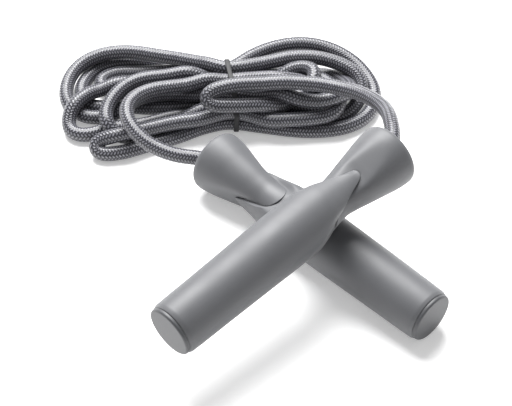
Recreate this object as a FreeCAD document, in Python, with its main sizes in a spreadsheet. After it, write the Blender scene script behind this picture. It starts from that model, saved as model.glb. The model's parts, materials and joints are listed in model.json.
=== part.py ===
import FreeCAD, Part
import math
import os
import Sketcher

os.makedirs("parts", exist_ok=True)

# The row frame: millimetres, +Z up, origin under the middle of the two handles.
doc = FreeCAD.newDocument("jump_rope")

sizes = doc.addObject("Spreadsheet::Sheet", "sizes")
rows = [
    # end cap
    ("cap_radius", 14.0), ("cap_edge", 1.2), ("cap_depth", 2.1), ("cap_wall", 1.9),
    ("plug_end", 13.0), ("plug_clear", 0.05), ("cap_gap", 0.1),
    # barrel grip, stations counted from the cap's face
    ("barrel_back", "=cap_depth + cap_gap"), ("barrel_round", "=barrel_back + 1.9"),
    ("barrel_back_radius", 15.0), ("barrel_full", 104.0), ("barrel_full_radius", 17.0),
    ("shoulder", 113.0), ("shoulder_radius", 15.7), ("slope", 123.0), ("slope_radius", 13.5),
    ("barrel_waist", 132.0), ("barrel_waist_radius", 12.6),
    ("tongue_end", 136.0), ("tongue_end_radius", 12.9),
    ("socket_radius", 12.0), ("socket_end", 14.5),
    # flat scoops down both sides of the barrel, in front of the horn's tongues
    ("scoop_start", 87.0), ("scoop_half", 17.2), ("scoop_fall", 96.4), ("scoop_fall_half", 15.7),
    ("scoop_low", 107.0), ("scoop_low_half", 12.5), ("scoop_end", 114.0),
    ("scoop_end_half", 11.0),
    # split between barrel and horn, seen from the side
    ("notch_start", 108.0), ("notch_half", 3.5), ("notch_wide", 12.0), ("notch_out", 25.0),
    # horn
    ("horn_back", "=notch_start"), ("horn_back_radius", 12.9),
    ("horn_waist", 120.0), ("horn_waist_radius", 11.3),
    ("flat_start", 136.0), ("flat_start_half", 11.9), ("flat_middle", 145.0),
    ("flat_middle_half", 14.2), ("flat_end", 156.0), ("flat_end_half", 17.7),
    ("flare_end", 158.0), ("flare_radius", 18.0), ("rim_back", 162.6), ("rim_radius", 18.3),
    ("mouth", 165.0), ("mouth_outer", 16.9), ("mouth_inner", 15.6),
    ("throat_front", 163.2), ("throat_wide", 14.6), ("throat_back", 152.4),
    # where each handle lies: the middle of its cap's face, and how its axis points; handle b
    # lies on the floor and handle a across it, so a thicker barrel lifts both
    ("handle_b_x", 68.75), ("handle_b_y", -45.2), ("handle_b_z", "=barrel_full_radius - 2.08"),
    ("handle_b_turn", 135.5), ("handle_b_lift", 1.2), ("handle_b_roll", 76.0),
    ("handle_a_x", -68.75), ("handle_a_y", -74.2),
    ("handle_a_z", "=handle_b_z + 1.8 * barrel_full_radius - 5.77"),
    ("handle_a_turn", 44.0), ("handle_a_lift", 4.8), ("handle_a_roll", 15.0),
    # core tube
    ("core_radius", 9.0), ("core_bore", 7.0), ("core_back", 15.0), ("core_front", 150.0),
    # swivel: bush, thrust washer, ferrule and clip
    ("swivel_clear", 0.05), ("stem_radius", 5.6), ("head_radius", 6.7),
    ("bush_bore", "=stem_radius + swivel_clear"), ("bush_back", 133.6),
    ("bush_flange", "=core_front + 1.8"), ("bush_flange_radius", "=core_radius - 0.1"),
    ("ferrule_back", 126.0), ("head_front", 132.0), ("ferrule_front", 156.0),
    ("washer_back", "=head_front + 0.05"), ("washer_front", "=bush_back - 0.05"),
    ("washer_bore", "=stem_radius + 0.1"), ("washer_radius", 6.8),
    ("clip_back", "=bush_flange + 0.3"), ("clip_front", "=clip_back + 1.1"),
    ("groove_radius", 5.0), ("clip_radius", 7.2),
    # rope
    ("rope_radius", 4.5), ("rope_end", 128.0),
    ("hank_low", 17.0), ("hank_high", 27.0), ("hank_edge", 5.0), ("hank_base_edge", 3.0),
    # tie around the hank's waist
    ("tie_x", -40.6), ("tie_width", 3.0), ("tie_thick", 1.5), ("tie_y", 133.5),
    ("tie_length", 48.0), ("tie_height", 28.4), ("tie_corner", 12.0),
]
for number, (alias, value) in enumerate(rows, start=1):
    sizes.set("A%d" % number, alias)
    sizes.set("B%d" % number, str(value))
    sizes.setAlias("B%d" % number, alias)
doc.recompute()


def size(alias):
    return float(sizes.get(alias))


def bind(sketch, constraint, alias):
    """Add a sketch dimension and tie it to a sheet cell."""
    place = sketch.addConstraint(constraint)
    sketch.setExpression("Constraints[%d]" % place, "sizes." + alias)


def outline(body, name, points):
    """Close a profile through points given as a pair of sheet names, along then out."""
    sketch = body.newObject("Sketcher::SketchObject", name)
    sketch.AttachmentSupport = [(body.Origin.OriginFeatures[4], "")]
    sketch.MapMode = "FlatFace"
    places = [FreeCAD.Vector(size(a) if a else 0.0, size(r), 0) for a, r in points]
    count = len(places)
    for i in range(count):
        sketch.addGeometry(Part.LineSegment(places[i], places[(i + 1) % count]), False)
    for i in range(count):
        sketch.addConstraint(Sketcher.Constraint("Coincident", i, 2, (i + 1) % count, 1))
    for i, (along, out) in enumerate(points):
        if along:
            bind(sketch, Sketcher.Constraint("DistanceX", -1, 1, i, 1, places[i].x), along)
        else:
            sketch.addConstraint(Sketcher.Constraint("PointOnObject", i, 1, -2))
        bind(sketch, Sketcher.Constraint("DistanceY", -1, 1, i, 1, places[i].y), out)
    return sketch


def turned(label, points):
    """A body turned about the handle's axis, which is its own X axis."""
    body = doc.addObject("PartDesign::Body", label)
    body.Label = label
    sketch = outline(body, label + "_profile", points)
    turn = body.newObject("PartDesign::Revolution", label + "_turn")
    turn.Profile = sketch
    turn.ReferenceAxis = (body.Origin.OriginFeatures[0], [""])
    turn.Angle = 360
    body.Tip = turn
    return body


def split(body, label, side, points, plane=4):
    """Cut a profile right through the handle, across its axis; plane 4 is XZ, 3 is XY."""
    sketch = body.newObject("Sketcher::SketchObject", label + "_outline")
    sketch.AttachmentSupport = [(body.Origin.OriginFeatures[plane], "")]
    sketch.MapMode = "FlatFace"
    places = [FreeCAD.Vector(size(a), side * sign * size(r), 0) for a, r, sign in points]
    count = len(places)
    for i in range(count):
        sketch.addGeometry(Part.LineSegment(places[i], places[(i + 1) % count]), False)
    for i in range(count):
        sketch.addConstraint(Sketcher.Constraint("Coincident", i, 2, (i + 1) % count, 1))
    for i, (along, out, sign) in enumerate(points):
        bind(sketch, Sketcher.Constraint("DistanceX", -1, 1, i, 1, places[i].x), along)
        if side * sign > 0:
            bind(sketch, Sketcher.Constraint("DistanceY", -1, 1, i, 1, places[i].y), out)
        else:
            bind(sketch, Sketcher.Constraint("DistanceY", i, 1, -1, 1, -places[i].y), out)
    cut = body.newObject("PartDesign::Pocket", label)
    cut.Profile = sketch
    cut.Type = 1
    cut.Midplane = True
    body.Tip = cut


def handle(tag):
    """The pieces of one handle, all in one place and turned alike."""
    barrel = turned("barrel_" + tag, [
        ("barrel_back", "socket_radius"), ("barrel_back", "cap_radius"),
        ("barrel_round", "barrel_back_radius"), ("barrel_full", "barrel_full_radius"),
        ("shoulder", "shoulder_radius"), ("slope", "slope_radius"),
        ("barrel_waist", "barrel_waist_radius"), ("tongue_end", "tongue_end_radius"),
        ("tongue_end", "core_radius"), ("socket_end", "core_radius"),
        ("socket_end", "socket_radius")])
    split(barrel, "barrel_notch_" + tag, 1, [
        ("notch_start", "notch_half", 1), ("tongue_end", "notch_wide", 1),
        ("mouth", "notch_wide", 1), ("mouth", "notch_wide", -1),
        ("tongue_end", "notch_wide", -1), ("notch_start", "notch_half", -1)])
    for side, word in ((1, "near"), (-1, "far")):
        split(barrel, "barrel_scoop_%s_%s" % (word, tag), side, [
            ("scoop_start", "scoop_half", 1), ("scoop_fall", "scoop_fall_half", 1),
            ("scoop_low", "scoop_low_half", 1), ("scoop_end", "scoop_end_half", 1),
            ("tongue_end", "scoop_end_half", 1), ("tongue_end", "notch_out", 1),
            ("scoop_start", "notch_out", 1)], 3)
    horn = turned("horn_" + tag, [
        ("horn_back", "core_radius"), ("horn_back", "horn_back_radius"),
        ("horn_waist", "horn_waist_radius"), ("flare_end", "flare_radius"),
        ("rim_back", "rim_radius"), ("mouth", "mouth_outer"), ("mouth", "mouth_inner"),
        ("throat_front", "throat_wide"), ("throat_back", "core_radius")])
    for side, word in ((1, "upper"), (-1, "lower")):
        split(horn, "horn_%s_%s" % (word, tag), side, [
            ("notch_start", "notch_half", 1), ("tongue_end", "notch_wide", 1),
            ("tongue_end", "notch_out", 1), ("plug_end", "notch_out", 1),
            ("plug_end", "notch_half", 1)])
        split(horn, "horn_flat_%s_%s" % (word, tag), side, [
            ("flat_start", "flat_start_half", 1), ("flat_middle", "flat_middle_half", 1),
            ("flat_end", "flat_end_half", 1), ("flat_end", "notch_out", 1),
            ("flat_start", "notch_out", 1)])
    core = turned("core_tube_" + tag, [
        ("core_back", "core_bore"), ("core_back", "core_radius"),
        ("core_front", "core_radius"), ("core_front", "core_bore")])
    bush = turned("bush_" + tag, [
        ("bush_back", "bush_bore"), ("bush_back", "core_bore"), ("core_front", "core_bore"),
        ("core_front", "bush_flange_radius"), ("bush_flange", "bush_flange_radius"),
        ("bush_flange", "bush_bore")])
    washer = turned("washer_" + tag, [
        ("washer_back", "washer_bore"), ("washer_back", "washer_radius"),
        ("washer_front", "washer_radius"), ("washer_front", "washer_bore")])
    ferrule = turned("ferrule_" + tag, [
        ("ferrule_back", "rope_radius"), ("ferrule_back", "head_radius"),
        ("head_front", "head_radius"), ("head_front", "stem_radius"),
        ("clip_back", "stem_radius"), ("clip_back", "groove_radius"),
        ("clip_front", "groove_radius"), ("clip_front", "stem_radius"),
        ("ferrule_front", "stem_radius"), ("ferrule_front", "rope_radius")])
    clip = turned("clip_" + tag, [
        ("clip_back", "groove_radius"), ("clip_back", "clip_radius"),
        ("clip_front", "clip_radius"), ("clip_front", "groove_radius")])
    cap = end_cap(tag)
    spot = FreeCAD.Placement(
        FreeCAD.Vector(*[size("handle_%s_%s" % (tag, a)) for a in "xyz"]),
        FreeCAD.Rotation(size("handle_%s_turn" % tag), -size("handle_%s_lift" % tag),
                         size("handle_%s_roll" % tag)))
    pieces = [barrel, horn, core, bush, washer, ferrule, clip, cap]
    for piece in pieces:
        piece.Placement = spot
    return spot, pieces


def end_cap(tag):
    """A disc with a rounded edge and a hollow plug behind it."""
    body = doc.addObject("PartDesign::Body", "cap_" + tag)
    body.Label = "cap_" + tag
    disc = body.newObject("PartDesign::AdditiveCylinder", "cap_disc_" + tag)
    disc.MapMode = "Deactivated"
    disc.Placement = FreeCAD.Placement(FreeCAD.Vector(), FreeCAD.Rotation(0, 90, 0))
    disc.setExpression("Radius", "sizes.cap_radius")
    disc.setExpression("Height", "sizes.cap_depth")
    plug = body.newObject("PartDesign::AdditiveCylinder", "cap_plug_" + tag)
    plug.Placement = FreeCAD.Placement(FreeCAD.Vector(), FreeCAD.Rotation(0, 90, 0))
    plug.setExpression("Radius", "sizes.socket_radius - sizes.plug_clear")
    plug.setExpression("Height", "sizes.plug_end")
    hollow = body.newObject("PartDesign::SubtractiveCylinder", "cap_hollow_" + tag)
    start = FreeCAD.Vector(size("cap_depth") + size("cap_wall"), 0, 0)
    hollow.Placement = FreeCAD.Placement(start, FreeCAD.Rotation(0, 90, 0))
    hollow.setExpression("Radius", "sizes.socket_radius - sizes.plug_clear - sizes.cap_wall")
    hollow.setExpression("Height", "sizes.plug_end")
    doc.recompute()
    edges = []
    for number, edge in enumerate(hollow.Shape.Edges, start=1):
        box = edge.BoundBox
        if box.XMax < 0.01 and box.ZMax > size("cap_radius") - 0.1:
            edges.append("Edge%d" % number)
    rounded = body.newObject("PartDesign::Fillet", "cap_round_" + tag)
    rounded.Base = (hollow, edges)
    rounded.setExpression("Radius", "sizes.cap_edge")
    body.Tip = rounded
    return body


spot_a, pieces_a = handle("a")
spot_b, pieces_b = handle("b")


def route(corners):
    """Straight runs joined by tangent arcs; arc radius = 0.45 shorter run / tan(half turn)."""
    edges = []
    tightest = 1000.0
    start = corners[0]
    for before, corner, after in zip(corners, corners[1:], corners[2:]):
        into = (corner - before).normalize()
        away = (after - corner).normalize()
        turn = into.getAngle(away)
        short = min(before.distanceToPoint(corner), corner.distanceToPoint(after))
        back = 0.45 * short
        radius = back / math.tan(turn / 2)
        tightest = min(tightest, radius)
        first = corner - into * back
        last = corner + away * back
        inward = (away - into).normalize()
        middle = corner + inward * (radius / math.cos(turn / 2) - radius)
        edges.append(Part.LineSegment(start, first).toShape())
        edges.append(Part.Arc(first, middle, last).toShape())
        start = last
    edges.append(Part.LineSegment(start, corners[-1]).toShape())
    return Part.Wire(edges), tightest


def tube(label, corners):
    """A round cord solid along a route."""
    wire, tightest = route(corners)
    ring = Part.makeCircle(size("rope_radius"), corners[0], corners[1] - corners[0])
    solid = wire.makePipeShell([Part.Wire([ring])], True, True)
    cord = doc.addObject("Part::Feature", label)
    cord.Label = label
    cord.Shape = solid
    section = math.pi * size("rope_radius") ** 2
    print(label, "tightest bend", round(tightest, 1), "length", round(wire.Length, 1),
          "volume over section x length", round(solid.Volume / (section * wire.Length), 4))
    return cord


def along(spot, station):
    return spot.multVec(FreeCAD.Vector(station, 0, 0))


# The free stretch from each handle to the hank, corner by corner.
lead_a = tube("rope_lead_a", [
    along(spot_a, size("rope_end")), along(spot_a, 168.0), FreeCAD.Vector(51.5, 66.0, 53.0),
    FreeCAD.Vector(44.0, 92.0, 43.5), FreeCAD.Vector(20.0, 116.0, size("hank_high") + 6.5),
    FreeCAD.Vector(-12.0, 121.0, size("hank_high") - 5.0)])
lead_b = tube("rope_lead_b", [
    along(spot_b, size("rope_end")), along(spot_b, 166.0), FreeCAD.Vector(-74.0, 76.0, 17.5),
    FreeCAD.Vector(-98.0, 94.0, size("hank_high") - 0.5),
    FreeCAD.Vector(-104.0, 112.0, size("hank_high") - 1.0),
    FreeCAD.Vector(-84.0, 129.0, size("hank_high") - 6.0)])


def loop_face(label, places):
    """A flat face inside a smooth closed line through hand-chosen places."""
    curve = Part.BSplineCurve()
    curve.interpolate(Points=[FreeCAD.Vector(x, y, 0) for x, y in places], PeriodicFlag=True)
    face = doc.addObject("Part::Feature", label)
    face.Label = label
    face.Shape = Part.Face(Part.Wire([curve.toShape()]))
    return face


def layer(label, face, top, edge_bottom):
    """Raise a face to a height and round its two rims."""
    raised = doc.addObject("Part::Extrusion", label + "_raised")
    raised.Base = face
    raised.DirMode = "Custom"
    raised.Dir = FreeCAD.Vector(0, 0, 1)
    raised.Solid = True
    raised.setExpression("LengthFwd", "sizes." + top)
    doc.recompute()
    rims = []
    for number, edge in enumerate(raised.Shape.Edges, start=1):
        box = edge.BoundBox
        if box.ZLength < 0.01 and box.ZMax > 0.01:
            rims.append((number, size("hank_edge"), size("hank_edge")))
        elif box.ZLength < 0.01:
            rims.append((number, size(edge_bottom), size(edge_bottom)))
    rounded = doc.addObject("Part::Fillet", label)
    rounded.Base = raised
    rounded.Edges = rims
    return rounded


# The hank's outer shape: a wide low layer of floor turns and a smaller high layer.
low = layer("hank_low_turns", loop_face("hank_low_line", [
    (-41, 111.5), (-66, 100), (-95, 87), (-118, 83), (-133, 92), (-145, 105), (-149, 127),
    (-144, 152), (-130, 174), (-108, 186), (-85, 180), (-62, 166), (-41, 155.5), (-20, 163),
    (0, 173), (20, 176), (40, 168), (53, 148), (55, 128), (46, 108), (28, 99), (2, 99),
    (-20, 105)]), "hank_low", "hank_base_edge")
high = layer("hank_high_turns", loop_face("hank_high_line", [
    (-41, 115), (-70, 119), (-95, 121), (-120, 126), (-133, 139), (-127, 157), (-105, 165),
    (-75, 159), (-41, 152), (-12, 160), (14, 166), (34, 158), (44, 142), (38, 127),
    (20, 118), (-10, 115)]), "hank_high", "hank_base_edge")
hank_body = doc.addObject("Part::Fuse", "hank_body")
hank_body.Base = low
hank_body.Tool = high


def band(label, grow):
    """A rounded bar across the hank's waist, grown evenly from the band's inner line."""
    bar = doc.addObject("Part::Box", label + "_bar")
    bar.setExpression("Length", "sizes.tie_width")
    bar.setExpression("Width", "sizes.tie_length - 2 * sizes.tie_thick + 2 * %s" % grow)
    bar.setExpression("Height", "sizes.tie_height - 2 * sizes.tie_thick + 2 * %s" % grow)
    bar.setExpression("Placement.Base.x", "sizes.tie_x - sizes.tie_width / 2")
    bar.setExpression("Placement.Base.y",
                      "sizes.tie_y - sizes.tie_length / 2 + sizes.tie_thick - %s" % grow)
    bar.setExpression("Placement.Base.z", "sizes.tie_thick - %s" % grow)
    doc.recompute()
    radius = size("tie_corner") + bar.Width.Value - size("tie_length")
    corners = []
    for number, edge in enumerate(bar.Shape.Edges, start=1):
        if abs(edge.BoundBox.XLength - size("tie_width")) < 0.001:
            corners.append((number, radius, radius))
    rounded = doc.addObject("Part::Fillet", label)
    rounded.Base = bar
    rounded.Edges = corners
    return rounded


tie = doc.addObject("Part::Cut", "tie")
tie.Label = "tie"
tie.Base = band("tie_outer", "sizes.tie_thick")
tie.Tool = band("tie_inner", "0")
hank = doc.addObject("Part::Cut", "rope_hank")
hank.Label = "rope_hank"
hank.Base = hank_body
hank.Tool = tie
doc.recompute()

kept = pieces_a + pieces_b + [lead_a, lead_b, hank, tie]
for thing in doc.Objects:
    if "Invalid" in thing.State or "Error" in thing.State:
        raise RuntimeError("%s is %s" % (thing.Label, thing.State))
for thing in kept:
    shape = thing.Shape
    if shape.isNull() or not shape.isValid() or len(shape.Solids) != 1:
        raise RuntimeError("%s: valid %s, solids %d"
                           % (thing.Label, shape.isValid(), len(shape.Solids)))
    shape.exportStep("parts/%s.step" % thing.Label)
    box = shape.BoundBox
    print("%-14s volume %9.1f  x %7.2f %7.2f  y %7.2f %7.2f  z %6.2f %6.2f" % (
        thing.Label, shape.Volume, box.XMin, box.XMax, box.YMin, box.YMax, box.ZMin, box.ZMax))
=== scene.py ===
import json
import math

import bpy
import numpy as np
from mathutils import Euler, Matrix, Vector


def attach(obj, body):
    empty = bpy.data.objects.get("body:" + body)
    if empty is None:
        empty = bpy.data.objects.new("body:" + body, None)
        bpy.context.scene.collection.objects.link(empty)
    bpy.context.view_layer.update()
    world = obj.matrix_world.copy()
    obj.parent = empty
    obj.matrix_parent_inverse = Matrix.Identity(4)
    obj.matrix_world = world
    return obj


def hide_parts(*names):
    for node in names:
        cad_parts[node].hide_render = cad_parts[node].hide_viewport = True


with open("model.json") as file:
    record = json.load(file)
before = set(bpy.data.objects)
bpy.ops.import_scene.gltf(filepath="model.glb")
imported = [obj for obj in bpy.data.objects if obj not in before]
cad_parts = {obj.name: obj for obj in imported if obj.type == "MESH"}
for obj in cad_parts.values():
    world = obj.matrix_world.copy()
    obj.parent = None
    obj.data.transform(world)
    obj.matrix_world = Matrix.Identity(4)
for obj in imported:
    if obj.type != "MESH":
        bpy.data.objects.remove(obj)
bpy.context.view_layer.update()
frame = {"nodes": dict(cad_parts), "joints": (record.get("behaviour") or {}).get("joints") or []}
nodes = frame["nodes"]
mm = 0.001


# colours and small helpers

def tint(code):
    # sRGB hex to linear: c / 12.92 below 0.04045, else ((c + 0.055) / 1.055) ^ 2.4
    parts = [int(code[i:i + 2], 16) / 255 for i in (1, 3, 5)]
    return [c / 12.92 if c <= 0.04045 else ((c + 0.055) / 1.055) ** 2.4 for c in parts] + [1.0]


def node(tree, kind, settings=None, links=None, **constants):
    # one node: settings on the node itself, constants by socket name, and in links each socket
    # takes a (node, output) pair, a node for its first output, or a number or colour
    made = tree.nodes.new(kind)
    for key, value in (settings or {}).items():
        setattr(made, key, value)
    for key, value in constants.items():
        made.inputs[key.replace("_", " ")].default_value = value
    for socket, source in (links or {}).items():
        if isinstance(source, tuple):
            tree.links.new(source[0].outputs[source[1]], made.inputs[socket])
        elif isinstance(source, bpy.types.Node):
            tree.links.new(source.outputs[0], made.inputs[socket])
        else:
            made.inputs[socket].default_value = source
    return made


def newMaterial(name):
    material = bpy.data.materials.new(name)
    material.use_nodes = True
    tree = material.node_tree
    tree.nodes.clear()
    return material, tree


def finishMaterial(tree, shader):
    node(tree, "ShaderNodeOutputMaterial", links={"Surface": (shader, "BSDF")})


def smoothStep(t):
    t = np.clip(t, 0.0, 1.0)
    return t * t * (3 - 2 * t)


def softMin(a, b, width):
    # the smaller of two, rounded over where they cross
    return 0.5 * (a + b - np.sqrt((a - b) ** 2 + width ** 2))


def through(x, knots):
    # smooth curve through (x, y) knots: cubic pieces whose slope at each knot is the
    # harmonic mean of the slopes on its two sides, or 0 at a turn, so that it never overshoots
    px = np.array([knot[0] for knot in knots], float)
    py = np.array([knot[1] for knot in knots], float)
    rise = np.diff(py) / np.diff(px)
    product = rise[:-1] * rise[1:]
    mean = 2 * product / np.where(product > 0, rise[:-1] + rise[1:], 1.0)
    slope = np.concatenate([rise[:1], np.where(product > 0, mean, 0.0), rise[-1:]])
    i = np.clip(np.searchsorted(px, x, side="right") - 1, 0, len(px) - 2)
    gap = px[i + 1] - px[i]
    t = np.clip((x - px[i]) / gap, 0.0, 1.0)
    return ((2 * t ** 3 - 3 * t ** 2 + 1) * py[i] + (t ** 3 - 2 * t ** 2 + t) * gap * slope[i]
            + (3 * t ** 2 - 2 * t ** 3) * py[i + 1] + (t ** 3 - t ** 2) * gap * slope[i + 1])


def gridMesh(name, points, closeRows=True, uv=None):
    # points is rows x columns x 3 in metres; columns close into rings; rows close too, or each
    # end is shut by one flat face
    rows, columns = points.shape[:2]
    last = rows if closeRows else rows - 1
    r, c = np.meshgrid(np.arange(last), np.arange(columns), indexing="ij")
    r2, c2 = (r + 1) % rows, (c + 1) % columns
    faces = np.stack([r * columns + c, r * columns + c2, r2 * columns + c2, r2 * columns + c], -1)
    corners = faces.reshape(-1)
    starts = np.arange(0, len(corners), 4)
    if not closeRows:
        starts = np.append(starts, [len(corners), len(corners) + columns])
        ring = np.arange(columns)
        corners = np.concatenate([corners, ring[::-1], (rows - 1) * columns + ring])
    mesh = bpy.data.meshes.new(name)
    mesh.vertices.add(rows * columns)
    mesh.vertices.foreach_set("co", points.reshape(-1).astype(np.float32))
    mesh.loops.add(len(corners))
    mesh.loops.foreach_set("vertex_index", corners.astype(np.int32))
    mesh.polygons.add(len(starts))
    mesh.polygons.foreach_set("loop_start", starts.astype(np.int32))
    mesh.polygons.foreach_set("use_smooth", np.ones(len(starts), bool))
    mesh.update(calc_edges=True)
    mesh.validate()
    if uv is not None:
        across, along = uv
        layer = mesh.uv_layers.new(name="weave")
        u = np.stack([across[c], across[c] + (across[1] - across[0]),
                      across[c] + (across[1] - across[0]), across[c]], -1)
        v = np.stack([along[r], along[r], along[np.minimum(r + 1, rows - 1)],
                      along[np.minimum(r + 1, rows - 1)]], -1)
        flat = np.zeros(2 * len(corners), np.float32)
        flat[:2 * u.size] = np.stack([u, v], -1).reshape(-1)
        layer.data.foreach_set("uv", flat)
    made = bpy.data.objects.new(name, mesh)
    bpy.context.scene.collection.objects.link(made)
    return made


# camera: a studio shot from in front, 46.8 degrees above the floor, with a long lens

cameraSet = {"target": (-0.02465, 0.05275, 0.0), "distance": 0.85, "above": 46.8, "lens": 102.73}
lens = bpy.data.cameras.new("camera")
lens.sensor_width = 36.0
lens.lens = cameraSet["lens"]
lens.clip_start, lens.clip_end = 0.05, 20.0
camera = bpy.data.objects.new("camera", lens)
bpy.context.scene.collection.objects.link(camera)
above = math.radians(cameraSet["above"])
camera.location = Vector(cameraSet["target"]) + cameraSet["distance"] * Vector(
    (0.0, -math.cos(above), math.sin(above)))
camera.rotation_euler = Euler((math.pi / 2 - above, 0.0, 0.0))
bpy.context.scene.camera = camera
print("camera placed")


# rope: where its middle line goes, from handle a's ferrule to handle b's

rope = {
    "diameter": 9 * mm,
    "spacing": 3 * mm,    # between the points that settle
    "clear": 8.9 * mm,    # middle lines of two touching turns, a little squeezed
    "rings": 1.25 * mm,   # between rings of the finished skin
    "around": 36,         # vertices in a ring: three to a braid column
    "columns": 12,
    "pitch": 1.8,         # mm from one pick to the next in a column
    "relief": 0.28 * mm,  # depth of the groove between columns
    "pickWide": 0.46,     # half width of a pick, of a column
    "pickLong": 0.30,     # half length of a pick, of a pitch
    "pickLean": 0.55,     # of a pitch, each way, across a column
}
joints = {joint["name"]: joint for joint in frame["joints"]}
hingeStation = 142 * mm   # swivel's middle, from the cap's face


def handlePlace(tag, roll):
    # the handle's own frame: X from the cap's face to the mouth, turned by roll about itself
    hinge = joints["swivel_" + tag]
    axis = Vector(hinge["axis"]).normalized()
    origin = Vector(hinge["pos_m"]) - axis * hingeStation
    turn = math.atan2(axis.y, axis.x)
    lift = math.asin(axis.z)
    rotation = (Matrix.Rotation(turn, 4, "Z") @ Matrix.Rotation(-lift, 4, "Y")
                @ Matrix.Rotation(math.radians(roll), 4, "X"))
    return Matrix.Translation(origin) @ rotation


rolls = {"a": 15.0, "b": 76.0}   # degrees each handle has rolled about its own axis
places = {tag: handlePlace(tag, roll) for tag, roll in rolls.items()}


def station(tag, s):
    # a point on the handle's axis, s millimetres from the cap's face, back in millimetres
    return tuple((places[tag] @ Vector((s * mm, 0, 0))) / mm)


# row frame, millimetres; the band squeezes the turns together at x = -41
routePoints = [
    # out of handle a, round and over the band
    station("a", 128), station("a", 168), (51.5, 66, 53), (50, 84, 46), (41, 100, 41),
    (29, 111, 37), (12, 119, 34.5), (-8, 121, 33.5), (-30, 119.5, 33.4), (-46, 117, 32.5),
    # tight fold left of the band, back over it and down into the middle
    (-56, 114, 29.5), (-54, 109.5, 25.5), (-41, 110, 23.5), (-22, 113, 22.5), (-7, 120, 19),
    (4, 127, 18.5), (11, 135, 21), (12, 144, 23.5), (4, 149, 20.5), (-6, 148, 16),
    (-20, 141, 13.5), (-41, 133.75, 14.2),
    # left turn, low: down its far side, under the later ones and back along the floor
    (-56, 138.5, 11), (-72, 143, 11.5), (-90, 144.5, 11.5), (-105, 143.5, 11), (-116, 140, 11),
    (-127, 134, 11.5), (-135.5, 124, 10.5), (-139.5, 113, 6), (-136, 105.5, 4.5),
    (-127, 104.5, 4.5), (-114, 107.5, 4.5), (-95, 113, 4.5), (-65, 120, 5), (-41, 124.75, 6),
    # right turn
    (-22, 121, 4.5), (-4, 118.5, 4.5), (10, 117.5, 4.5), (22, 119, 4.5), (32, 123.5, 6),
    (39, 131.5, 9), (40, 141, 12.5), (35.5, 149.5, 16), (26, 156, 19), (9, 159, 21.5),
    (-14, 154, 22), (-41, 142.75, 22.3),
    # left turn, high on the outside
    (-55, 149, 22), (-70, 157.5, 20), (-86, 163, 18), (-98, 167.5, 17), (-110, 169.5, 16),
    (-122, 168, 15), (-132.5, 163.5, 13), (-140, 154, 11), (-143, 141, 9), (-140, 128, 7),
    (-131, 120, 5), (-118, 120.5, 5), (-106, 125, 8.5), (-95, 129.5, 12), (-84, 132.5, 13.5),
    (-70, 132, 14.5), (-56, 127.5, 18), (-41, 124.75, 22.3),
    # right turn, small and high
    (-20, 121, 22), (-2, 118, 22), (10.5, 117.5, 21.5), (23, 119, 20), (32, 127, 17),
    (34, 138, 14), (29.5, 149, 11), (20, 157, 7.5), (5, 161, 5), (-14, 160.5, 5),
    (-41, 151.75, 6),
    # left turn on the floor
    (-56, 158, 5.5), (-72, 164, 5), (-88, 169, 4.5), (-102, 171, 4.5), (-116, 169.5, 4.5),
    (-126, 163, 4.5), (-132.5, 153.5, 4.5), (-134, 143, 4.5), (-131, 133.5, 4.5),
    (-122, 128.5, 4.5), (-108, 128, 4.5), (-90, 129, 4.5), (-70, 130, 4.5), (-56, 131.5, 5),
    (-41, 133.75, 6),
    # right turn, smallest
    (-20, 133, 5), (-2, 132.5, 4.5), (11, 134.5, 4.5), (16, 141, 4.5), (9, 147, 4.5),
    (-6, 147, 4.5), (-24, 144.5, 5), (-41, 142.75, 6),
    # left turn inside the floor one
    (-56, 141, 5), (-72, 139, 4.5), (-90, 138.5, 4.5), (-104, 139, 4.5), (-114, 142, 4.5),
    (-121.5, 147.5, 4.5), (-123, 154, 4.5), (-118, 159.5, 4.5), (-110, 161.5, 4.5),
    (-98, 161, 5.5), (-83, 158.5, 9), (-65, 154.5, 13), (-41, 151.75, 14.2),
    # right turn, the outermost
    (-30, 163, 16), (-18.5, 170, 17.5), (-4, 174.5, 18), (9, 175.5, 17.5), (22, 172.5, 16),
    (34, 166, 13.5), (43, 156, 11), (48, 143, 9), (48.5, 131, 7), (42.5, 119.5, 4.5),
    (30, 111, 4.5), (16, 108.5, 4.5), (0, 110, 4.5), (-20, 114, 4.5), (-41, 115.75, 6),
    # left turn, nearest the handles
    (-58, 111.5, 4.5), (-74, 104.5, 4.5), (-89, 96.5, 4.5), (-102, 90.5, 4.5),
    (-114, 88, 4.5), (-123.5, 91, 6.5), (-118, 96.5, 10.5), (-106, 98, 13), (-94, 100.5, 13.5),
    (-80, 105, 13.5), (-62, 111, 13.5), (-41, 115.75, 14.2),
    # right turn
    (-28.5, 113.5, 13), (-11.5, 109.5, 13), (6, 109, 12.8), (20, 113.5, 12.7),
    (28, 122, 13), (28, 134, 13), (19, 146, 12.5), (4, 149.5, 13), (-16, 148, 13.5),
    (-41, 142.75, 14.2),
    # left turn over the low ones, its foot on the floor
    (-55, 142.5, 16.5), (-70, 142.5, 18.5), (-85, 141.5, 20), (-97, 139, 20),
    (-106, 133, 19), (-112, 124.5, 17.5), (-116, 115, 14.5), (-115.5, 106, 10.5),
    (-108, 103, 5.5), (-97, 104, 4.5), (-82, 108.5, 5), (-62, 117, 10), (-41, 124.75, 14.2),
    # right turn, inside the others
    (-20, 124.5, 11), (0, 123.5, 8.5), (14, 124, 8.5), (21, 130.5, 10), (17, 139, 14),
    (3, 142.5, 18), (-15, 139.5, 21), (-41, 133.75, 22.3),
    # over the left turns and into handle b
    (-56, 130.5, 23.5), (-75, 126.3, 25.5), (-91.5, 120.3, 27.5), (-100.5, 110.5, 27.5),
    (-102, 98.5, 27), (-95, 85.5, 24), (-84, 77.5, 20.5), (-69, 72, 18.6), station("b", 166),
    station("b", 128),
]


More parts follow.
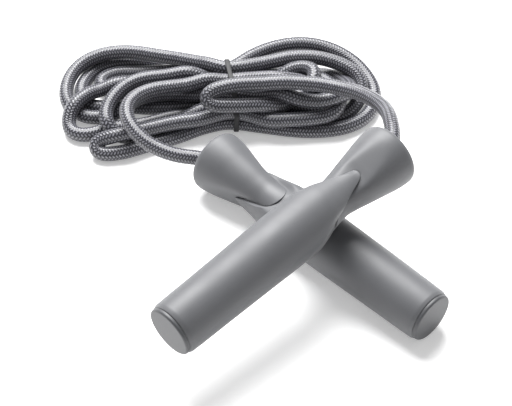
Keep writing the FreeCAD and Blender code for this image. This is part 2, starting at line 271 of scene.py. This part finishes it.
def routeLine(name, points):
    # the smooth line through the route: a NURBS of order 3 with the points as control points
    curve = bpy.data.curves.new(name, "CURVE")
    curve.dimensions = "3D"
    curve.resolution_u = 12
    spline = curve.splines.new("NURBS")
    spline.points.add(len(points) - 1)
    spline.points.foreach_set("co", np.column_stack(
        [np.array(points, float) * mm, np.ones(len(points))]).reshape(-1))
    spline.order_u = 3
    spline.use_endpoint_u = True
    holder = bpy.data.objects.new(name, curve)
    bpy.context.scene.collection.objects.link(holder)
    bpy.context.view_layer.update()
    mesh = bpy.data.meshes.new_from_object(holder.evaluated_get(
        bpy.context.evaluated_depsgraph_get()))
    line = np.zeros(len(mesh.vertices) * 3)
    mesh.vertices.foreach_get("co", line)
    bpy.data.meshes.remove(mesh)
    bpy.data.objects.remove(holder)
    bpy.data.curves.remove(curve)
    return line.reshape(-1, 3)


def measured(line):
    # how far along the line each point is: the sum of the steps before it
    return np.concatenate([[0.0], np.cumsum(np.linalg.norm(np.diff(line, axis=0), axis=1))])


def spaced(line, gap):
    # the same line with points evenly gap apart
    run = measured(line)
    at = np.linspace(0, run[-1], int(round(run[-1] / gap)) + 1)
    return np.column_stack([np.interp(at, run, line[:, k]) for k in range(3)])


settling = {
    "rounds": 420,
    "drop": 0.025 * mm,       # fall in one round
    "hold": 0.025,            # pull back to the first line: everywhere
    "bandHold": 0.3,          # and more inside the band
    "leadHold": 0.5,          # and more along the free ends
    "band": -40.6 * mm,       # x of the band, and how far its hold reaches
    "bandReach": 7 * mm,
    "lead": 60 * mm,          # length of each end that keeps its line
    "straighten": 0.35,
    "push": 0.22,             # share of an overlap put right in one round, by each side
    "most": 0.8 * mm,         # furthest that one round's pushes move a point
    "leadGive": 0.15,         # share of the pushes that the ends take
    "spacing": 0.25,          # share of a stretch put right in one round
    "ignore": 15 * mm,        # points nearer than this along the rope don't push each other
    "look": 4 * mm,           # how far beyond the clearance pairs are listed
    "listEvery": 8,           # rounds between two lists of pairs
}


def settle(line):
    # lets the turns rest on each other and on the floor. Each round: a small drop, a weak pull
    # back to the first line, straightening of each point towards its neighbours' cubic,
    # a push apart of turns nearer than the clearance, and neighbours back to their spacing
    s = settling
    first = line
    p = line.copy()
    gap = rope["spacing"]
    index = np.arange(len(p))
    fromEnd = np.minimum(index, len(p) - 1 - index) * gap
    loose = smoothStep((fromEnd - s["lead"]) / s["lead"])[:, None]
    inBand = np.exp(-((first[:, :1] - s["band"]) / s["bandReach"]) ** 2)
    hold = s["hold"] + s["bandHold"] * inBand + s["leadHold"] * (1 - loose)
    for turn in range(s["rounds"]):
        if turn % s["listEvery"] == 0:
            apart = np.linalg.norm(p[:, None] - p[None], axis=2)
            near = np.triu(apart < rope["clear"] + s["look"], int(round(s["ignore"] / gap)))
            i, j = np.nonzero(near)
        p[:, 2] -= s["drop"] * loose[:, 0]
        p += hold * (first - p)
        bend = np.zeros_like(p)
        bend[2:-2] = (-p[:-4] + 4 * p[1:-3] + 4 * p[3:-1] - p[4:]) / 6 - p[2:-2]
        p += s["straighten"] * bend * loose
        away = p[i] - p[j]
        distance = np.linalg.norm(away, axis=1)
        push = np.clip(rope["clear"] - distance, 0, None)[:, None] * away / distance[:, None]
        move = np.zeros_like(p)
        np.add.at(move, i, s["push"] * push)
        np.add.at(move, j, -s["push"] * push)
        p += np.clip(move, -s["most"], s["most"]) * (s["leadGive"] + (1 - s["leadGive"]) * loose)
        step = p[1:] - p[:-1]
        length = np.linalg.norm(step, axis=1)[:, None]
        fix = s["spacing"] * (length - gap) * step / length
        p[:-1] += fix * loose[:-1]
        p[1:] -= fix * loose[1:]
        p[:, 2] = np.maximum(p[:, 2], rope["diameter"] / 2)
    nearest = np.linalg.norm(p[i] - p[j], axis=1).min()
    print("nearest turns", round(float(nearest / mm), 2), "mm")
    # a pass of a 1-4-6-4-1 average takes the last jitter out
    p[2:-2] = (p[:-4] + 4 * p[1:-3] + 6 * p[2:-2] + 4 * p[3:-1] + p[4:]) / 16
    return p


route = spaced(routeLine("rope_route", routePoints), rope["spacing"])
print("rope route", round(float(measured(route)[-1]), 3), "m")
ropeLine = settle(route)


def smoothLine(line, gap):
    # Catmull-Rom through the points, four pieces to a span, then evenly spaced
    padded = np.vstack([2 * line[0] - line[1], line, 2 * line[-1] - line[-2]])
    t = np.linspace(0, 1, 5)[:-1][None, :, None]
    a, b, c, d = (padded[k:len(padded) - 3 + k][:, None] for k in range(4))
    dense = 0.5 * (2 * b + (c - a) * t + (2 * a - 5 * b + 4 * c - d) * t ** 2
                   + (3 * b - a - 3 * c + d) * t ** 3)
    return spaced(np.vstack([dense.reshape(-1, 3), line[-1:]]), gap)


def frames(line):
    # turning-free frame along a line: each side vector is the last one less its part along
    ahead = np.gradient(line, axis=0)
    ahead /= np.linalg.norm(ahead, axis=1)[:, None]
    side = np.zeros_like(line)
    start = np.cross(ahead[0], (0.0, 0.0, 1.0))
    side[0] = start / np.linalg.norm(start)
    for k in range(1, len(line)):
        carried = side[k - 1] - ahead[k] * (side[k - 1] @ ahead[k])
        side[k] = carried / np.linalg.norm(carried)
    return ahead, side, np.cross(ahead, side)


def ropeSkin():
    # a ring of radius r carried along the line, r = half the diameter less the relief where
    # two columns of the braid meet; the two cut ends are drawn in a little
    middle = smoothLine(ropeLine, rope["rings"])
    ahead, side, up = frames(middle)
    run = measured(middle) / mm
    u = np.arange(rope["around"]) / rope["around"]
    turn = 2 * np.pi * u
    column = u * rope["columns"]
    across = np.abs(column - np.round(column)) * 2          # 0 between columns, 1 at the crown
    r = rope["diameter"] / 2 - rope["relief"] * (1 - across)
    ring = (np.cos(turn)[None, :, None] * side[:, None] + np.sin(turn)[None, :, None] * up[:, None])
    size = np.ones(len(middle))
    size[[0, -1]] = 0.8
    skin = middle[:, None] + (size[:, None] * r[None])[:, :, None] * ring
    # across goes round by the side vector's sense so the faces point outwards
    return gridMesh("rope", skin[:, ::-1], closeRows=False, uv=(1 - u[::-1], run)), middle


ropePiece, ropeMiddle = ropeSkin()
print("rope skin", len(ropePiece.data.polygons) * 2, "triangles")


# handles: barrel with two long tongues, horn with two shorter ones between them

grip = {
    "around": 240,
    "barrelRows": 150,
    "hornRows": 70,
    # the rest in mm
    "crease": 1.1,          # width over which a scoop's flat runs into the round
    "lip": 0.6,             # radius of each tongue's edge
    "gap": 0.16,            # half the groove between barrel and horn
    "melt": 6.0,            # reach of the soft side's blend behind the seam
    "bore": 9.05,           # the core tube's outside
    "capEnd": 2.2,          # where the barrel starts, beyond the cap's disc
    "capRim": 0.9,          # radius of the barrel's edge there
    "socket": 12.0,         # radius of the cap's socket, and how deep it goes
    "socketEnd": 14.5,
    "mouth": 165.0,
    "rimDepth": 3.0,        # the mouth's edge: an ellipse quarter outside
    "rimWidth": 1.5,
    "rimIn": 1.8,           # and one inside
    "rimDrop": 1.2,
    "throatFront": 163.2,   # the throat's cone, from this radius down to the bore
    "throatRadius": 14.6,
    "throatBack": 152.4,
}
aroundGrip = np.arange(grip["around"]) * 2 * np.pi / grip["around"]
# radius of the round and half width of the flat at stations from the cap's face
barrelRound = [(2.2, 13.9), (4.1, 14.95), (30, 15.5), (60, 16.15), (88, 16.7), (100, 17.0),
               (107, 16.6), (113, 15.6), (118, 14.6), (124, 13.5), (130, 12.9), (136, 12.7)]
barrelScoop = [(80, 20.0), (88, 17.2), (96.4, 15.6), (104, 13.3), (109, 11.8), (114, 10.9),
               (122, 10.2), (136, 9.9)]
hornRound = [(108, 12.9), (113, 12.0), (120, 11.4), (127, 12.3), (135, 13.9), (145, 15.8),
             (152, 17.2), (158, 18.05), (162, 18.3), (165, 18.25)]
hornScoop = [(108, 10.3), (127, 10.5), (133, 11.0), (140, 12.9), (148, 15.4), (156, 17.9),
             (165, 21.0)]
# where barrel gives way to horn, by degrees from the horn's tongue to the barrel's
splitLine = [(0, 108.2), (12, 108.6), (22, 109.6), (32, 111.2), (42, 114.2), (52, 119.0),
             (60, 124.4), (68, 130.4), (74, 133.6), (80, 135.3), (90, 135.9)]


def splitStation(angle):
    # the split line folded four times round: blunt tips with long slanting edges between
    fold = np.abs((angle + 90.0) % 180.0 - 90.0)
    return through(fold, splitLine)


def crispness(angle):
    # how deep the seam is, 0 to 1: the smooth step of 0.5 - 0.62 sin(2 angle). Each tongue has
    # a crisp side and one that melts into its neighbour
    return smoothStep(0.5 - 0.62 * np.sin(2 * angle))


def barrelRadius(s, angle):
    # the lesser of the round and the flat, whose radius is half its width / |cos(angle)|
    flat = through(s, barrelScoop) / np.maximum(np.abs(np.cos(angle)), 0.2)
    return softMin(through(s, barrelRound), flat, grip["crease"])


def hornRadius(s, angle):
    # the same with |sin(angle)|: the horn's flats lie under the barrel's tongues
    flat = through(s, hornScoop) / np.maximum(np.abs(np.sin(angle)), 0.2)
    return softMin(through(s, hornRound), flat, grip["crease"])


def shell(rows, tag, name, cadNode):
    # rows of (station, radius) round the axis, put in the handle's place; angle runs from the
    # horn's tongue (local Y) towards the barrel's tongue (local Z)
    s = np.stack([row[0] for row in rows])
    r = np.stack([row[1] for row in rows])
    local = np.stack([s, r * np.cos(aroundGrip), r * np.sin(aroundGrip)], -1) * mm
    place = np.array(places[tag])
    skin = local @ place[:3, :3].T + place[:3, 3]
    piece = gridMesh(name, skin[:, ::-1])
    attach(piece, "handle_" + tag)
    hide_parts(cadNode)
    return piece


def seam(angle):
    # by angle: split station, lip radius and half the gap
    crisp = 0.2 + 0.8 * crispness(angle)
    return splitStation(np.degrees(angle)), grip["lip"] * crisp, grip["gap"] * crisp


def meltedBarrel(s, angle):
    # the barrel's skin, drawn to the horn's over the last few mm on the seam's soft side
    split = splitStation(np.degrees(angle))
    near = smoothStep(1 - (split - s) / grip["melt"]) * (1 - crispness(angle))
    return barrelRadius(s, angle) + near * (
        hornRadius(split, angle) - barrelRadius(split, angle))


def barrel(tag):
    # outer skin r(s, angle) from the cap's end to the split, a rounded lip, the face down to
    # the bore, and back along the bore and the cap's socket: each row one ring
    split, lip, gap = seam(aroundGrip)
    end = split - gap
    flat = np.ones_like(aroundGrip)
    edge = grip["capRim"]
    skinStart = grip["capEnd"] + edge
    rimRadius = barrelRadius(skinStart, 0 * aroundGrip)
    rows = [(skinStart - edge * np.sin(a) * flat, rimRadius - edge * (1 - np.cos(a)))
            for a in np.linspace(np.pi / 2, 0, 5)]
    for t in np.linspace(0, 1, grip["barrelRows"])[1:]:
        # rows crowd towards the tongues, where the shape is
        crowd = 0.45 * t + 0.55 * np.sin(t * np.pi / 2)
        s = skinStart + (end - lip - skinStart) * crowd
        rows.append((s, meltedBarrel(s, aroundGrip)))
    rim = meltedBarrel(end, aroundGrip)
    rows += [(end - lip * (1 - np.sin(a)), rim - lip * (1 - np.cos(a)))
             for a in np.linspace(0, np.pi / 2, 6)[1:]]
    rows += [(end, 0.5 * (rim + grip["bore"])), (end, grip["bore"] * flat)]
    rows += [(end + (grip["socketEnd"] - end) * t, grip["bore"] * flat)
             for t in np.linspace(0, 1, 12)[1:]]
    rows += [(grip["socketEnd"] * flat, grip["socket"] * flat),
             (grip["capEnd"] * flat, grip["socket"] * flat)]
    return shell(rows, tag, "gripBarrel_" + tag, "barrel_" + tag)


def horn(tag):
    # face at the split, a rounded lip, outer skin r(s, angle) flaring to the mouth, the
    # mouth's rounded rim, the cone of the throat and the bore back to the split
    split, lip, gap = seam(aroundGrip)
    start = split + gap
    flat = np.ones_like(aroundGrip)
    rim = hornRadius(start, aroundGrip)
    skinEnd = grip["mouth"] - grip["rimDepth"]
    full = hornRadius(skinEnd * flat, aroundGrip)
    quarter = np.linspace(0, np.pi / 2, 6)
    rows = [(start, grip["bore"] * flat), (start, 0.5 * (rim + grip["bore"]))]
    rows += [(start + lip * (1 - np.cos(a)), rim - lip * (1 - np.sin(a))) for a in quarter]
    for t in np.linspace(0, 1, grip["hornRows"])[1:]:
        s = start + lip + (skinEnd - start - lip) * t
        rows.append((s, hornRadius(s, aroundGrip)))
    rows += [(skinEnd + grip["rimDepth"] * np.sin(a) * flat,
              full - grip["rimWidth"] * (1 - np.cos(a)))
             for a in np.linspace(0, np.pi / 2, 9)[1:]]
    rows += [(grip["mouth"] - grip["rimIn"] * (1 - np.cos(a)) * flat,
              full - grip["rimWidth"] - grip["rimDrop"] * np.sin(a)) for a in quarter[1:]]
    rows += [(grip["throatFront"] + (grip["throatBack"] - grip["throatFront"]) * t * flat,
              grip["throatRadius"] + (grip["bore"] - grip["throatRadius"]) * t ** 0.8 * flat)
             for t in np.linspace(0, 1, 10)[1:]]
    rows += [(grip["throatBack"] + (start - grip["throatBack"]) * t, grip["bore"] * flat)
             for t in np.linspace(0, 1, 8)[1:-1]]
    return shell(rows, tag, "gripHorn_" + tag, "horn_" + tag)


handlePieces = [make(tag) for tag in "ab" for make in (barrel, horn)]
print("handles", sum(len(piece.data.polygons) for piece in handlePieces) * 2, "triangles")


# tie: a flat rubber band pulled round the turns where they are squeezed

tieBand = {
    "at": -40.0,         # x where y is at the middle, mm
    "middle": 133.75,
    "slant": -0.16,      # x for each mm of y
    "width": 3.0,
    "thick": 1.2,
    "along": 240,        # rows round the band
    "around": 16,        # vertices round its section
    "bite": 0.15,        # how far it presses into the rope, mm
    "lift": 0.05,        # clear of the floor, mm
    "wander": 0.3,       # sideways, mm
    "outside": 2,        # crossings that lie over the band: the lead and its fold
}


def bandCrossings():
    # where the rope goes through the band's plane, x = at + slant (y - middle): between each
    # two points on opposite sides, the point in proportion to their distances from it
    line = ropeMiddle / mm
    off = line[:, 0] - tieBand["at"] - tieBand["slant"] * (line[:, 1] - tieBand["middle"])
    k = np.nonzero(off[:-1] * off[1:] < 0)[0]
    part = (off[k] / (off[k] - off[k + 1]))[:, None]
    return (line[k] * (1 - part) + line[k + 1] * part)[:, 1:]


def tieSkin():
    # a thin strip pulled tight round the turns: for each direction n the rope whose middle
    # lies furthest along n carries the strip, at middle + (rope radius + half the strip) n.
    # The last crossing is inside a handle, so it is left out too
    middles = bandCrossings()[tieBand["outside"]:-1]
    t = np.linspace(0, 2 * np.pi, 1440, endpoint=False)
    n = np.stack([np.cos(t), np.sin(t)], -1)
    furthest = middles[(n @ middles.T).argmax(1)]
    out = rope["diameter"] / mm / 2 + tieBand["thick"] / 2 - tieBand["bite"]
    line = furthest + n * out
    line[:, 1] = np.maximum(line[:, 1], tieBand["thick"] / 2 + tieBand["lift"])
    closed = np.concatenate([line, line[:1]])
    run = measured(closed)
    even = np.linspace(0, run[-1], tieBand["along"], endpoint=False)
    y = np.interp(even, run, closed[:, 0])
    z = np.interp(even, run, closed[:, 1])
    ahead = np.stack([np.roll(y, -1) - np.roll(y, 1), np.roll(z, -1) - np.roll(z, 1)], -1)
    ahead /= np.linalg.norm(ahead, axis=1)[:, None]
    ny, nz = ahead[:, 1], -ahead[:, 0]
    # section: flat faces and soft edges
    section = np.linspace(0, 2 * np.pi, tieBand["around"], endpoint=False)
    wide = np.sign(np.cos(section)) * np.abs(np.cos(section)) ** 0.4 * tieBand["width"] / 2
    deep = np.sign(np.sin(section)) * np.abs(np.sin(section)) ** 0.5 * tieBand["thick"] / 2
    twist = tieBand["wander"] * np.sin(6 * np.pi * np.arange(len(y)) / len(y))
    x = tieBand["at"] + tieBand["slant"] * (y - tieBand["middle"]) + twist
    skin = np.stack([x[:, None] + wide[None], y[:, None] + ny[:, None] * deep[None],
                     z[:, None] + nz[:, None] * deep[None]], -1) * mm
    piece = gridMesh("tieBand", skin)
    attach(piece, "cord")
    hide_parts("tie")
    return piece


tiePiece = tieSkin()
print("tie made")


# materials

def gripMaterial():
    # soft-touch rubber over-moulded on the handle: satin, its sheen spread wide by a fine
    # matt texture, with faint cloudy patches where hands have polished it
    material, tree = newMaterial("softTouchRubber")
    place = node(tree, "ShaderNodeTexCoord")
    grain = node(tree, "ShaderNodeTexNoise", links={"Vector": (place, "Object")},
                 Scale=2600.0, Detail=3.0, Roughness=0.6)      # 0.4 mm spark texture
    cloud = node(tree, "ShaderNodeTexNoise", links={"Vector": (place, "Object")},
                 Scale=55.0, Detail=4.0, Roughness=0.55)       # 18 mm patches
    gloss = node(tree, "ShaderNodeMapRange", links={"Value": (cloud, "Fac")},
                 From_Min=0.3, From_Max=0.7, To_Min=0.46, To_Max=0.56)
    shade = node(tree, "ShaderNodeMapRange", links={"Value": (cloud, "Fac")},
                 From_Min=0.3, From_Max=0.7, To_Min=0.0, To_Max=1.0)
    colour = node(tree, "ShaderNodeMix", {"data_type": "RGBA"},
                  {"Factor": (shade, "Result"), 6: tint("#58595C"), 7: tint("#5C5D60")})
    bump = node(tree, "ShaderNodeBump", links={"Height": (grain, "Fac")},
                Strength=0.12, Distance=0.00008)
    shader = node(tree, "ShaderNodeBsdfPrincipled", None,
                  {"Base Color": (colour, 2), "Roughness": (gloss, "Result"),
                   "Normal": (bump, "Normal")},
                  IOR=1.5, Sheen_Weight=0.12, Sheen_Roughness=0.5)
    finishMaterial(tree, shader)
    return material


def plainMaterial(name, dark, light, rough, scale, metallic=0.0, ior=1.5):
    # a base that wanders between two shades with the noise that also roughens it
    material, tree = newMaterial(name)
    place = node(tree, "ShaderNodeTexCoord")
    noise = node(tree, "ShaderNodeTexNoise", links={"Vector": (place, "Object")},
                 Scale=scale, Detail=4.0, Roughness=0.6)
    colour = node(tree, "ShaderNodeMix", {"data_type": "RGBA"},
                  {"Factor": (noise, "Fac"), 6: tint(dark), 7: tint(light)})
    gloss = node(tree, "ShaderNodeMapRange", links={"Value": (noise, "Fac")},
                 From_Min=0.3, From_Max=0.7, To_Min=rough - 0.04, To_Max=rough + 0.05)
    bump = node(tree, "ShaderNodeBump", links={"Height": (noise, "Fac")},
                Strength=0.15, Distance=0.00004)
    shader = node(tree, "ShaderNodeBsdfPrincipled", None,
                  {"Base Color": (colour, 2), "Roughness": (gloss, "Result"),
                   "Normal": (bump, "Normal")},
                  Metallic=metallic, IOR=ior)
    finishMaterial(tree, shader)
    return material


def braidMaterial():
    # polypropylene braid in columns along the rope: its grey is painted light on each pick as a
    # painted highlight and dark charcoal between the picks as painted shade in the grooves; the
    # yarn's filaments give each pick a soft streaky gloss
    material, tree = newMaterial("polypropyleneBraid")
    weave = node(tree, "ShaderNodeUVMap", {"uv_map": "weave"})
    split = node(tree, "ShaderNodeSeparateXYZ", links={"Vector": (weave, "UV")})
    sums = "ShaderNodeMath"
    minus, times, over, plus, timesPlus, fraction, floorOf, modulo, power, root = (
        {"operation": name} for name in ("SUBTRACT", "MULTIPLY", "DIVIDE", "ADD",
                                         "MULTIPLY_ADD", "FRACT", "FLOOR", "MODULO", "POWER",
                                         "SQRT"))
    column = node(tree, sums, times, {0: (split, "X"), 1: float(rope["columns"])})
    across = node(tree, sums, minus, {0: node(tree, sums, fraction, {0: column}), 1: 0.5})
    odd = node(tree, sums, modulo, {0: node(tree, sums, floorOf, {0: column}), 1: 2.0})
    # a pick's place along the rope moves with its place across the column, and the lean turns
    # over from one column to the next, which reads as a herringbone
    lean = node(tree, sums, timesPlus, {0: odd, 1: -2 * rope["pickLean"], 2: rope["pickLean"]})
    along = node(tree, sums, timesPlus, {0: (split, "Y"), 1: 1.0 / rope["pitch"],
                                         2: node(tree, sums, times, {0: across, 1: lean})})
    staggered = node(tree, sums, timesPlus, {0: odd, 1: 0.5, 2: along})
    phase = node(tree, sums, minus, {0: node(tree, sums, fraction, {0: staggered}), 1: 0.5})
    # distance from the middle of the pick, in shares of its half sizes across and along: the
    # root of the two shares squared and added
    shares = [node(tree, sums, power, {0: node(tree, sums, over, {0: part, 1: size}), 1: 2.0})
              for part, size in ((across, rope["pickWide"]), (phase, rope["pickLong"]))]
    far = node(tree, sums, root, {0: node(tree, sums, plus, {0: shares[0], 1: shares[1]})})
    pick = node(tree, "ShaderNodeMapRange", {"interpolation_type": "SMOOTHSTEP"},
                {"Value": far}, From_Min=1.15, From_Max=0.55, To_Min=0.0, To_Max=1.0)
    place = node(tree, "ShaderNodeTexCoord")
    patch = node(tree, "ShaderNodeTexNoise", links={"Vector": (place, "Object")},
                 Scale=420.0, Detail=3.0, Roughness=0.7)       # 2.4 mm: pick to pick
    vary = node(tree, "ShaderNodeMapRange", links={"Value": (patch, "Fac")},
                From_Min=0.32, From_Max=0.68, To_Min=0.55, To_Max=1.0)
    # painted highlight and painted shade: the pick mask, its strength wandering from pick to pick,
    # lightens the colour on each pick and leaves it dark in the grooves between
    paintedPickHighlight = node(tree, sums, times, {0: (pick, "Result"), 1: (vary, "Result")})
    # 29292F is the painted shade in the grooves, #8E8E96 the painted highlight on the picks
    colour = node(tree, "ShaderNodeMix", {"data_type": "RGBA"},
                  {"Factor": paintedPickHighlight, 6: tint("#29292F"), 7: tint("#8E8E96")})
    filament = node(tree, "ShaderNodeTexNoise", links={"Vector": (place, "Object")},
                    Scale=3200.0, Detail=2.0)                  # 0.3 mm filament bundles
    height = node(tree, sums, timesPlus, {0: (filament, "Fac"), 1: 0.25, 2: (pick, "Result")})
    bump = node(tree, "ShaderNodeBump", links={"Height": height},
                Strength=0.7, Distance=0.00022)
    shader = node(tree, "ShaderNodeBsdfPrincipled", None,
                  {"Base Color": (colour, 2), "Normal": (bump, "Normal")},
                  Roughness=0.3, IOR=1.55, Sheen_Weight=0.1, Sheen_Roughness=0.4)
    finishMaterial(tree, shader)
    return material


def dress(piece, material):
    piece.data.materials.clear()
    piece.data.materials.append(material)


softTouch = gripMaterial()
for piece in handlePieces:
    dress(piece, softTouch)
dress(ropePiece, braidMaterial())
# band: matt black natural rubber, with a trace of bloom
dress(tiePiece, plainMaterial("naturalRubberBand", "#141416", "#1E1E21", 0.62, 900.0, ior=1.52))
finishes = {
    # moulded ABS with a fine matt texture, a little glossier than the grip
    "cap": plainMaterial("mouldedAbs", "#48494C", "#4C4D50", 0.48, 2400.0, ior=1.53),
    # extruded black nylon tube, dull with faint flow clouds
    "core_tube": plainMaterial("extrudedNylon", "#131315", "#1B1B1E", 0.4, 500.0, ior=1.53),
    # turned natural acetal, off-white and slightly waxy
    "bush": plainMaterial("turnedAcetal", "#D6D3C9", "#E3E0D7", 0.33, 700.0, ior=1.48),
    # stamped brass, rolled bright
    "washer": plainMaterial("stampedBrass", "#B58A45", "#C79B52", 0.32, 800.0, metallic=1.0),
    # turned aluminium, clean and pale
    "ferrule": plainMaterial("turnedAluminium", "#B9BBBE", "#CDCFD1", 0.3, 900.0, metallic=1.0),
    # spring steel wire, oiled grey
    "clip": plainMaterial("springSteel", "#7E7F80", "#909193", 0.34, 900.0, metallic=1.0),
}
for name, piece in nodes.items():
    kind = name.rsplit("_", 1)[0]
    if kind in finishes:
        dress(piece, finishes[kind])
print("materials made")


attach(ropePiece, "cord")
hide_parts("rope_lead_a", "rope_hank", "rope_lead_b")

studio = {
    "half": 3.0,                              # half the floor's side, metres
    "glow": 0.3,                              # the paper is lit through, which thins the shadows
    "key": (58.0, 1.2, (-0.2, 0.85, 1.2)),    # watts, metres across, place
    "fill": (0.4, 1.2, (-0.5, -1.1, 0.9)),
    "aim": (-0.02, 0.05, 0.02),
    "sky": 0.38,
}
floorMesh = bpy.data.meshes.new("floor")
half = studio["half"]
floorMesh.from_pydata([(-half, -half, 0), (half, -half, 0), (half, half, 0), (-half, half, 0)],
                      [], [(0, 1, 2, 3)])
floor = bpy.data.objects.new("floor", floorMesh)
bpy.context.scene.collection.objects.link(floor)
# matt white paper
paper, paperTree = newMaterial("studioPaper")
finishMaterial(paperTree, node(paperTree, "ShaderNodeBsdfPrincipled", Roughness=0.9,
                               Base_Color=tint("#F4F4F4"), Emission_Color=tint("#FFFFFF"),
                               Emission_Strength=studio["glow"]))
dress(floor, paper)


def softLight(name, power, size, place, target):
    lamp = bpy.data.lights.new(name, "AREA")
    lamp.shape = "DISK"
    lamp.energy = power
    lamp.size = size
    holder = bpy.data.objects.new(name, lamp)
    bpy.context.scene.collection.objects.link(holder)
    holder.location = place
    holder.rotation_euler = (Vector(target) - Vector(place)).to_track_quat("-Z", "Y").to_euler()


for name in ("key", "fill"):
    softLight(name, *studio[name], studio["aim"])
world = bpy.data.worlds.new("studio")
world.use_nodes = True
background = world.node_tree.nodes["Background"]
background.inputs["Color"].default_value = (1.0, 1.0, 1.0, 1.0)
background.inputs["Strength"].default_value = studio["sky"]
bpy.context.scene.world = world
bpy.context.scene.view_settings.view_transform = "Standard"  # keeps the paper white
print("studio lit")
